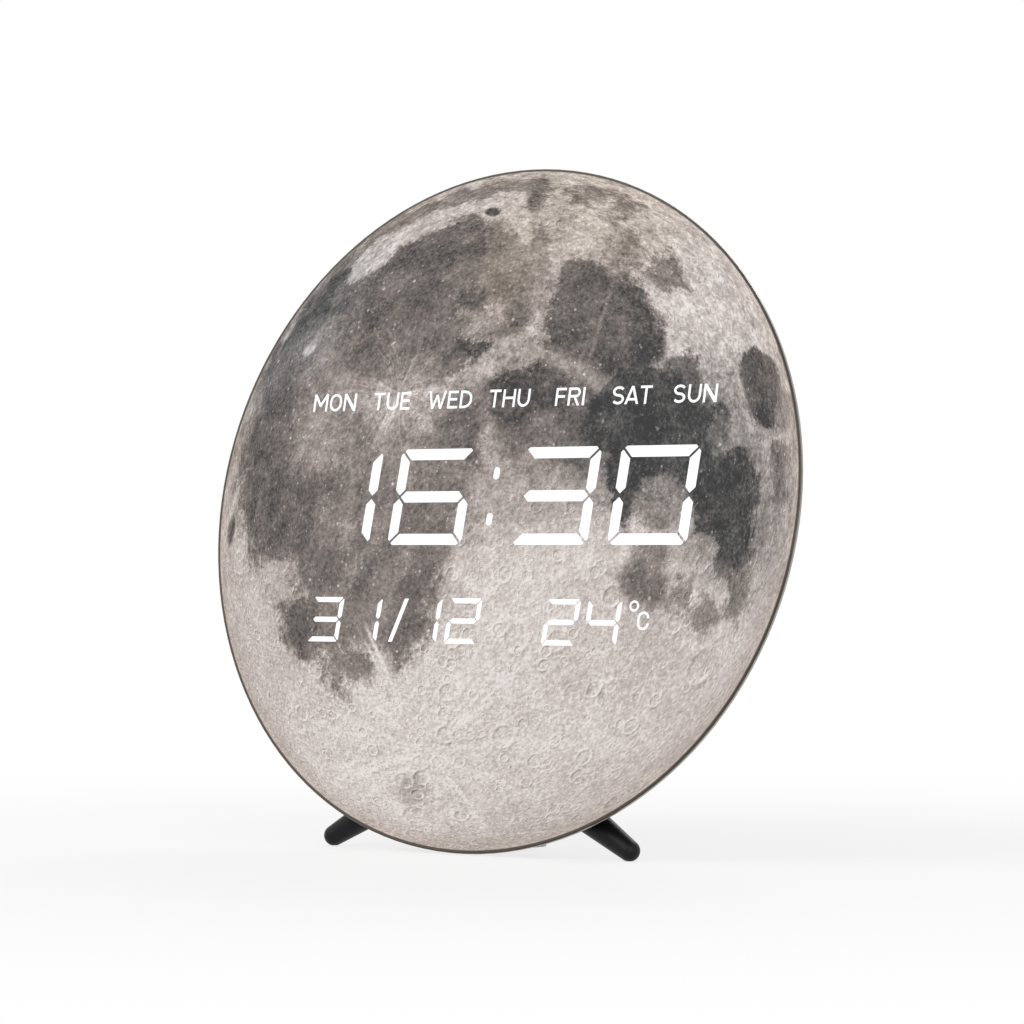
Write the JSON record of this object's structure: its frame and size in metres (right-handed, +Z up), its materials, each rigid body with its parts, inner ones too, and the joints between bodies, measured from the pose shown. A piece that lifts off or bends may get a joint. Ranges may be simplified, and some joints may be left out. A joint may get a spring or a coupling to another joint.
{
  "type": "digital desk clock",
  "caption": "Round leaning LED desk clock with a printed full-moon face, peg feet and a fold-out rear prop, showing time, date, weekday and temperature.",
  "frame": {"origin": "on the table, midway across the clock and midway from its front to its back", "axes": "+Z up, -Y to the front, +X to the right of someone facing the display"},
  "size_m": [0.25, 0.0662, 0.2465],
  "materials": {
    "moon_print": "printed satin film",
    "face_plate": "dark polished edge",
    "lights": "white light through the print",
    "foam_tape": "foam",
    "diffuser": "opal film",
    "reflector": "white moulded",
    "circuit_board": "solder mask",
    "led": "clear resin",
    "chip": "moulded epoxy",
    "can": "bare can",
    "switch_body": "moulded",
    "inlet_shell": "plated",
    "cell_steel": "plated",
    "housing": "fine textured black",
    "rear_cover": "fine textured black",
    "screw_steel": "black zinc",
    "pin_steel": "bright",
    "leg": "satin black",
    "key": "satin",
    "cap": "satin",
    "prop": "satin black",
    "foot_rubber": "soft milky silicone"
  },
  "bodies": {
    "clock": {"face_plate": "face_plate", "moon_print": "moon_print", "time_lights": "lights", "date_lights": "lights", "temperature_lights": "lights", "tape_ring": "foam_tape", "diffuser_film": "diffuser", "reflector": "reflector", "led_board": "circuit_board", "leds": "led", "controller_chip": "chip", "driver_chips": "chip", "capacitor": "can", "tact_switches": "switch_body", "power_jack": "inlet_shell", "cell_holder": "switch_body", "coin_cell": "cell_steel", "buzzer": "chip", "temperature_sensor": "chip", "housing": "housing", "rear_cover": "rear_cover", "cover_screws": "screw_steel", "board_screws": "screw_steel", "prop_pin": "pin_steel", "prop_brackets": "prop", "bracket_screws": "screw_steel"},
    "prop": {"prop": "prop", "prop_foot": "foot_rubber"},
    "leg_left": {"leg_left": "leg"},
    "leg_right": {"leg_right": "leg"},
    "battery_cap": {"battery_cap": "cap"},
    "button_set": {"button_set": "key"},
    "button_up": {"button_up": "key"},
    "button_down": {"button_down": "key"},
    "button_alarm": {"button_alarm": "key"}
  },
  "joints": [
    {"name": "prop_fold", "type": "hinge", "parent": "clock", "child": "prop", "pos_m": [0, 0.00588, 0.04333], "axis": [-1, 0, 0], "range_deg": [0, 21.9]},
    {"name": "battery_cap_turn", "type": "hinge", "parent": "clock", "child": "battery_cap", "pos_m": [-0.058, 0.01312, 0.11112], "axis": [0, -0.9839, 0.1788], "range_deg": [0, 60]},
    {"name": "leg_left_pull", "type": "slide", "parent": "clock", "child": "leg_left", "axis": [-0.8607, -0.091, -0.5008], "range_m": [0, 0.022]},
    {"name": "leg_right_pull", "type": "slide", "parent": "clock", "child": "leg_right", "axis": [0.8607, -0.091, -0.5008], "range_m": [0, 0.022]},
    {"name": "button_set_press", "type": "slide", "parent": "clock", "child": "button_set", "axis": [0, -0.9839, 0.1788], "range_m": [0, 0.0008], "stiffness_N_per_m": 400},
    {"name": "button_up_press", "type": "slide", "parent": "clock", "child": "button_up", "axis": [0, -0.9839, 0.1788], "range_m": [0, 0.0008], "stiffness_N_per_m": 400},
    {"name": "button_down_press", "type": "slide", "parent": "clock", "child": "button_down", "axis": [0, -0.9839, 0.1788], "range_m": [0, 0.0008], "stiffness_N_per_m": 400},
    {"name": "button_alarm_press", "type": "slide", "parent": "clock", "child": "button_alarm", "axis": [0, -0.9839, 0.1788], "range_m": [0, 0.0008], "stiffness_N_per_m": 400}
  ]
}
